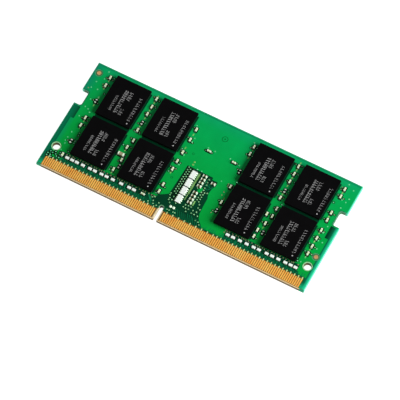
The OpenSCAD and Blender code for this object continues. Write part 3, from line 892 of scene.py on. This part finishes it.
# Covered vias of the margins and between the packages
MARGIN_VIAS = (
    (3.3, 28.8), (3.3, 26.7), (5.3, 27.8), (1.95, 25.2), (3.2, 23.5), (1.6, 23.3), (5.2, 23.2),
    (4.4, 21.7), (3.0, 20.5), (2.85, 18.2), (3.75, 17.95), (4.5, 17.3), (2.8, 15.4), (5.2, 15.9),
    (5.2, 13.8), (3.35, 10.9), (5.2, 11.4), (5.2, 10.7), (3.2, 9.3), (5.3, 9.2), (3.1, 8.3),
    (5.3, 8.5), (3.4, 7.6), (3.4, 5.7), (5.2, 6.0), (1.5, 4.3), (2.1, 4.1), (2.6, 4.7), (1.1, 3.6),
    (1.8, 3.4), (2.9, 4.1), (3.3, 3.7), (4.0, 3.6), (1.1, 3.0), (2.2, 2.98), (3.7, 4.9), (3.8, 4.3),
    (17.6, 25.5), (17.4, 23.2), (17.4, 20.9), (17.5, 17.9), (15.6, 13.6), (15.8, 6.5), (16.3, 17.9),
    (28.3, 26.0), (29.4, 22.8), (29.3, 21.7), (28.1, 19.1), (29.2, 17.8), (29.4, 15.1), (28.1, 12.5),
    (28.2, 6.2), (33.4, 22.1), (35.2, 22.0), (39.2, 22.0), (41.85, 21.4), (40.1, 15.9), (42.2, 28.3),
    (43.4, 17.3), (33.8, 16.0), (34.9, 16.0), (55.0, 25.6), (55.1, 23.5), (55.0, 20.9), (55.2, 17.1),
    (66.5, 28.9), (68.1, 28.0), (68.2, 25.6), (65.4, 25.5), (67.9, 24.5), (66.8, 24.7), (65.4, 23.2),
    (67.5, 22.7), (67.0, 17.1), (66.8, 15.2), (65.4, 13.3), (67.8, 12.9), (66.8, 12.9), (65.3, 11.4),
    (67.4, 10.9), (65.3, 9.2), (64.6, 6.8), (65.7, 6.3), (66.1, 7.7), (64.9, 6.2),
)
PLUGGED_VIAS = (
    (3.7, 25.3), (4.0, 24.7), (1.05, 22.9), (65.4, 27.6), (3.8, 27.1), (41.9, 16.0), (41.9, 13.7),
    (41.9, 12.8), (41.8, 7.7), (65.5, 5.35), (64.3, 5.35), (42.0, 15.4), (46.9, 5.3), (46.8, 4.7),
)
# Rows of plugged vias behind the resistor arrays: where each starts and ends, where they
# lie across the board, how far a via strays from there, and the steps along a row
VIA_ROWS = ((5.3, 28.2), (47.3, 63.9))
VIA_ROW_Y = 5.25
VIA_ROW_SHIFT = (-0.08, 0.06)
VIA_ROW_STEP = (0.5, 0.95)
LINK_L = 0.44
LINK_W = 0.26
# Short pale strips beside the packages: where along the board, and where across it
LINKS = (
    (4.45, (26.7, 24.45, 21.7, 19.4, 14.75, 12.75)),
    (16.65, (28.45, 26.55, 24.3, 22.0, 19.5, 12.5, 6.0)),
    (28.7, (23.5, 19.6, 12.4)),
    (42.75, (26.4, 24.2, 12.2, 9.9)),
    (54.1, (28.5, 26.55, 24.3, 22.0, 19.5, 9.9)),
    (66.1, (26.3, 19.4, 14.7, 12.3, 9.95, 7.8)),
)
# Traces of the open field and of the strip behind the contacts: width and path
TRACES = (
    (0.35, ((21.1, 3.1), (21.1, 5.5))), (0.22, ((10.8, 3.1), (10.8, 4.6))),
    (0.22, ((15.4, 5.5), (15.7, 4.2), (16.2, 3.2))), (0.2, ((18.7, 5.4), (19.0, 4.2), (19.4, 3.1))),
    (0.45, ((26.9, 5.2), (28.4, 3.7))), (0.22, ((50.2, 3.1), (50.2, 4.7))),
    (0.2, ((53.6, 5.6), (53.6, 4.2), (53.9, 3.2))), (0.25, ((12.7, 3.1), (12.7, 3.9))),
    (0.2, ((37.5, 12.5), (38.3, 12.4), (38.75, 12.95), (39.1, 13.5))),
    (0.2, ((37.3, 13.25), (37.85, 13.2), (38.2, 13.5), (38.2, 14.1))),
    (0.18, ((37.2, 14.6), (37.1, 13.7))), (0.18, ((38.1, 14.0), (38.1, 13.4), (38.5, 13.1))),
)
# The traces that leave the contacts: where they start and turn, how far aside they end,
# the places across the board where they may end, and the share of contacts that have one
TRACE_START_Y = 2.9
TRACE_TURN_Y = 3.25
TRACE_SHIFT = 0.3
TRACE_END_Y = (3.5, 3.8, 4.0, 4.05)
TRACE_SHARE = 0.9
TRACE_W = 0.16
FIRST_TRACE_X = 4.8
# Where the traces from the contacts lean left and run further, from and to
FANNED = (34.2, 41.0)
FAN_TURN_Y = 3.2
FAN_LEAN = 0.7
FAN_END_Y = (4.5, 4.9)
FAN_W = 0.12
FAN_GROUND = ((34.0, 3.1), (40.9, 3.1), (40.2, 4.85), (33.3, 4.85))
# The bus beside the key slot, with a row of vias, and the thinner tail that leads to it
BUS_X = 34.88
BUS_Y = (9.4, 15.2)
BUS_W = 0.42
BUS_TAIL_Y = (7.7, 9.5)
BUS_TAIL_W = 0.22
BUS_VIA_STEP = 0.55
PALE_TRACE = (0.3, ((37.2, 7.3), (37.2, 8.5)))
PALE_VIAS = ((32.3, 16.6), (32.35, 17.35))
# A small copper area of the open field
FIELD_COPPER = ((36.3, 11.4), (36.65, 12.0), (37.05, 12.4), (37.4, 11.95), (37.35, 11.4),
                (37.15, 10.9), (36.45, 10.95))
# The closest rows of vias stand on ground with no copper near them: two corners of it
DARK_GROUND = ((31.35, 6.6), (33.0, 15.75))
# Every so many contacts a stub runs on under the film: in the middle part and beside it
EXIT_PITCH = (3, 2)
EXIT_MIDDLE = (27.0, 45.0)
EXIT_Y = (2.62, 3.02)
EXIT_W = 0.28
# Round gaps in the copper, with their outer radius and width
COPPER_GAPS = ((29.5, 11.4), (31.05, 19.1))
COPPER_GAP_R = 0.3
COPPER_GAP_W = 0.12
# The plain sign in the copper, a ring around a dot: its place and measures
SIGN_PLACE = (35.75, 25.9)
SIGN_R = 0.75
SIGN_LINE = 0.16
SIGN_DOT_R = 0.2
# The bare glass-epoxy around a reference mark
FIDUCIAL_GAP_R = 0.82
FIDUCIAL_GAP_T = 0.012
# The lands of this size are test pads, and carry a dome
TEST_PAD = (0.6, 0.75)
TEST_DOME_R = 0.35
# The dome's outline, as (share of its radius, height over the green film)
TEST_DOME = ((1.0, 0.02), (0.85, 0.08), (0.5, 0.12), (0, 0.13))


def margin_vias():
    domes = Builder(UPPER)
    for x, y in MARGIN_VIAS:
        via(domes, x, y, MARGIN_VIA_R)
    domes.piece("upper_margin_vias", MASK_VIA)


def field_vias():
    """Vias of the open field, each in a dark gap of the copper."""
    domes = Builder(UPPER)
    gaps = Builder(UPPER)
    for low, high in islands("upper_via_pads", UPPER):
        middle = (low + high) / 2
        via(domes, middle.x, middle.y, (high.x - low.x) / 2)
        ring(gaps, middle.x, middle.y, 0, FIELD_VIA_GAP_R, mask_top + FIELD_GAP_RISE)
    domes.piece("upper_vias", MASK_FIELD_VIA, "solder_mask", "upper_via_pads")
    gaps.piece("upper_via_gaps", MASK_GAP_AND_SHADOW)


def part_vias():
    """Small vias beside the small parts, and the near-black round gaps around them and their like: gaps
    in the copper, darkened into painted shadow beside the parts and packages.
    """
    draw = random.Random(5)
    gap_top = mask_top + ROUND_GAP_RISE
    packages = [islands(f"upper_memory_{index}", UPPER)[0] for index in PACKAGES]
    parts = islands("upper_capacitor_bodies", UPPER) + islands("upper_calibration_resistors", UPPER)

    def clear(x, y, boxes, room):
        return all(x < low.x - room or x > high.x + room or y < low.y - room or y > high.y + room
                   for low, high in boxes)

    domes = Builder(UPPER)
    gaps = Builder(UPPER)
    for x, y in MARGIN_VIAS:
        if x < CORNER_VIAS[0] and y < CORNER_VIAS[1]:
            ring(gaps, x, y, 0, CORNER_VIA_GAP_R, gap_top)
        elif not clear(x, y, packages, NEAR_PACKAGE):
            ring(gaps, x, y, 0, PART_VIA_GAP_R, gap_top)
    for low, high in parts:
        middle = (low + high) / 2
        for sign in (-1, 1):
            x = middle.x + sign * draw.uniform(*PART_VIA_ASIDE)
            y = middle.y + draw.uniform(-PART_VIA_SHIFT, PART_VIA_SHIFT)
            wanted = draw.random() < PART_VIA_SHARE and not in_open_field(middle)
            if wanted and clear(x, y, packages, PACKAGE_ROOM) and clear(x, y, parts, PART_ROOM):
                via(domes, x, y, PART_VIA_R)
                ring(gaps, x, y, 0, PART_VIA_GAP_R, gap_top)
    domes.piece("upper_part_vias", MASK_FIELD_VIA)
    gaps.piece("upper_part_via_gaps", MASK_GAP_AND_SHADOW)


def plugged_vias():
    """Vias filled with resin, single ones and the rows behind the arrays."""
    draw = random.Random(3)
    domes = Builder(UPPER)
    for x, y in PLUGGED_VIAS:
        via(domes, x, y, PLUGGED_VIA_R)
    for start, end in VIA_ROWS:
        x = start
        while x < end:
            via(domes, x, VIA_ROW_Y + draw.uniform(*VIA_ROW_SHIFT), ROW_VIA_R)
            x += draw.uniform(*VIA_ROW_STEP)
    domes.piece("upper_plugged_vias", BROWN_VIA)


def contact_places():
    """Where the upper contacts stand along the board, from the left."""
    boxes = islands("upper_short_contacts", UPPER) + islands("upper_long_contacts", UPPER)
    return [(low.x + high.x) / 2 for low, high in boxes]


def traces():
    """Traces of the open field, and those that run from the contacts to the arrays."""
    draw = random.Random(11)
    lines = Builder(UPPER)
    fan = Builder(UPPER)
    for width, points in TRACES:
        strip(lines, points, width)
    for x in contact_places():
        if FANNED[0] < x < FANNED[1]:
            end = (x - FAN_LEAN, draw.uniform(*FAN_END_Y))
            strip(fan, ((x, TRACE_START_Y), (x, FAN_TURN_Y), end), FAN_W)
        elif x > FIRST_TRACE_X and draw.random() < TRACE_SHARE:
            end_y = draw.choice(TRACE_END_Y)
            end_x = x + draw.uniform(-TRACE_SHIFT, TRACE_SHIFT)
            strip(lines, ((x, TRACE_START_Y), (x, TRACE_TURN_Y), (end_x, end_y)), TRACE_W)
    lines.piece("upper_traces", MASK_TRACE)
    fan.piece("upper_fanned_traces", MASK_FAN)


def contact_exits():
    """Short bright stubs where some contacts run under the film."""
    exits = Builder(UPPER)
    for number, x in enumerate(contact_places()):
        pitch = EXIT_PITCH[0 if EXIT_MIDDLE[0] < x < EXIT_MIDDLE[1] else 1]
        if number % pitch == pitch - 1:
            strip(exits, ((x, EXIT_Y[0]), (x, EXIT_Y[1])), EXIT_W, EXIT_RISE)
    exits.piece("upper_contact_exits", MASK_EXIT)


def links():
    """The pale strips and vias under the film."""
    pale = Builder(UPPER)
    strip(pale, PALE_TRACE[1], PALE_TRACE[0])
    for x, places in LINKS:
        for y in places:
            strip(pale, ((x, y - LINK_L / 2), (x, y + LINK_L / 2)), LINK_W)
    for x, y in PALE_VIAS:
        via(pale, x, y, PALE_VIA_R)
    pale.piece("upper_links", MASK_LINK)


def slot_bus():
    """The wide trace with vias that runs up beside the key slot."""
    bus = Builder(UPPER)
    strip(bus, [(BUS_X, y) for y in BUS_Y], BUS_W)
    strip(bus, [(BUS_X, y) for y in BUS_TAIL_Y], BUS_TAIL_W)
    y = BUS_Y[0] + 0.2
    while y < BUS_Y[1]:
        via(bus, BUS_X, y, ROW_VIA_R)
        y += BUS_VIA_STEP
    bus.piece("upper_bus", MASK_BUS)


def copper_signs():
    """Round gaps and a plain sign in the copper."""
    top = mask_top + ROUND_GAP_RISE
    signs = Builder(UPPER)
    for x, y in COPPER_GAPS:
        ring(signs, x, y, COPPER_GAP_R - COPPER_GAP_W, COPPER_GAP_R, top)
    x, y = SIGN_PLACE
    ring(signs, x, y, SIGN_R - SIGN_LINE, SIGN_R, top)
    ring(signs, x, y, 0, SIGN_DOT_R, top)
    signs.piece("upper_copper_signs", MASK_SIGN)


def copper_areas():
    """A small area of copper, and two darker grounds without copper under the film."""
    field = Builder(UPPER)
    prism(field, FIELD_COPPER, sunk, mask_top + FIELD_COPPER_RISE)
    field.piece("upper_field_copper", MASK_COPPER)
    shade = Builder(UPPER)
    prism(shade, FAN_GROUND, sunk, mask_top + GROUND_RISE)
    shade.piece("upper_fan_ground", MASK_SHADE)
    ground = Builder(UPPER)
    plate(ground, DARK_GROUND[0], DARK_GROUND[1], (sunk, mask_top + GROUND_RISE), 0.1)
    ground.piece("upper_dark_ground", MASK_GROUND)


def fiducial_gaps():
    """The bare rings around the reference marks."""
    for side, face in FACES:
        rings = Builder(face)
        for low, high in islands(side + "_fiducials", face):
            middle = (low + high) / 2
            rings.at(middle.x, middle.y)
            inner = (high.x - low.x) / 2 + 0.02
            top = low.z + FIDUCIAL_GAP_T
            lathe(rings, ((inner, low.z), (FIDUCIAL_GAP_R, low.z), (FIDUCIAL_GAP_R, top),
                          (inner, top), (inner, low.z)), 32, False)
        rings.piece(side + "_fiducial_gaps", BARE_RING, "laminate")


def solder_lands():
    """The tinned lands; the two test pads beside the key slot carry a dome of solder."""
    for side, face in FACES:
        lands = Builder(face)
        for low, high in islands(side + "_solder_lands", face):
            size = high - low
            if abs(size.x - TEST_PAD[0]) < 0.02 and abs(size.y - TEST_PAD[1]) < 0.02:
                middle = (low + high) / 2
                lands.at(middle.x, middle.y)
                dome = [(share * TEST_DOME_R, mask_top + height) for share, height in TEST_DOME]
                lathe(lands, [(0, low.z), (TEST_DOME_R, low.z)] + dome, 24)
            else:
                lands.at(0, 0)
                plate(lands, low.xy, high.xy, (low.z, high.z), 0.1)
        lands.piece(side + "_tinned_lands", TIN, "tinned_land", side + "_solder_lands")


# ---- Stage, lights and camera ----


def stage():
    """A wide white floor just under the module."""
    reach = 3.0
    level = -0.00002
    corners = [(x * reach, y * reach, level) for x, y in ((-1, -1), (1, -1), (1, 1), (-1, 1))]
    mesh = bpy.data.meshes.new("floor")
    mesh.from_pydata(corners, [], [(0, 1, 2, 3)])
    n = Nodes("floor_paint")
    n.colour(n.ramp(n.noise(40, 2), (0.3, (0.28, 0.28, 0.28)), (0.7, (0.30, 0.30, 0.30))))
    fill(n.shader, Roughness=0.9, Specular_IOR_Level=0.1)
    fill(n.shader, Emission_Color=(1, 1, 1, 1), Emission_Strength=1.0)
    mesh.materials.append(n.material)
    floor = bpy.data.objects.new("floor", mesh)
    bpy.context.scene.collection.objects.link(floor)


def soft_light(name, place, size, power):
    """A soft box that points at the module."""
    data = bpy.data.lights.new(name, "AREA")
    data.shape = "RECTANGLE"
    data.size, data.size_y = size
    data.energy = power
    lamp = bpy.data.objects.new(name, data)
    lamp.location = place
    lamp.rotation_euler = (-Vector(place)).to_track_quat("-Z", "Y").to_euler()
    bpy.context.scene.collection.objects.link(lamp)


def lights():
    """A dim white room, a large soft box at the right and a weak card behind."""
    world = bpy.data.worlds.new("studio")
    bpy.context.scene.world = world
    world.use_nodes = True
    fill(world.node_tree.nodes["Background"], Color=(1, 1, 1, 1), Strength=0.08)
    soft_light("key_light", (0.58, 0.02, 0.35), (0.60, 0.40), 7.7)
    soft_light("back_card", (-0.13, 0.23, 0.54), (0.30, 0.30), 0.50)


def camera():
    """Aims the camera at a point on the board's upper face."""
    azimuth, elevation, roll = (math.radians(d) for d in (29.26, 63.66, -1.09))
    distance = 0.6969
    target = UPPER @ Vector((38.04, 9.34, 0))
    back = Vector((math.sin(azimuth) * math.cos(elevation), -math.cos(azimuth) * math.cos(elevation),
                   math.sin(elevation)))
    level = Vector((math.cos(azimuth), math.sin(azimuth), 0))
    rise = back.cross(level)
    right = level * math.cos(roll) + rise * math.sin(roll)
    up = rise * math.cos(roll) - level * math.sin(roll)
    data = bpy.data.cameras.new("camera")
    data.sensor_width = 36
    data.lens = 273
    data.clip_start = 0.01
    made = bpy.data.objects.new("camera", data)
    place = Matrix((right, up, back)).transposed().to_4x4()
    place.translation = target + back * distance
    made.matrix_world = place
    bpy.context.scene.collection.objects.link(made)
    bpy.context.scene.camera = made


# ---- The scene ----

paint_board()
for side, face in FACES:
    film_over_copper(side, face)
    contacts(side, face)
    package_caps(side, face)
    package_marks(side, face)
    solder_balls(side, face)
small_parts()
configuration_memory()
margin_vias()
field_vias()
part_vias()
plugged_vias()
traces()
contact_exits()
links()
slot_bus()
copper_signs()
copper_areas()
fiducial_gaps()
solder_lands()
stage()
lights()
camera()
bpy.context.scene.view_settings.view_transform = "Standard"
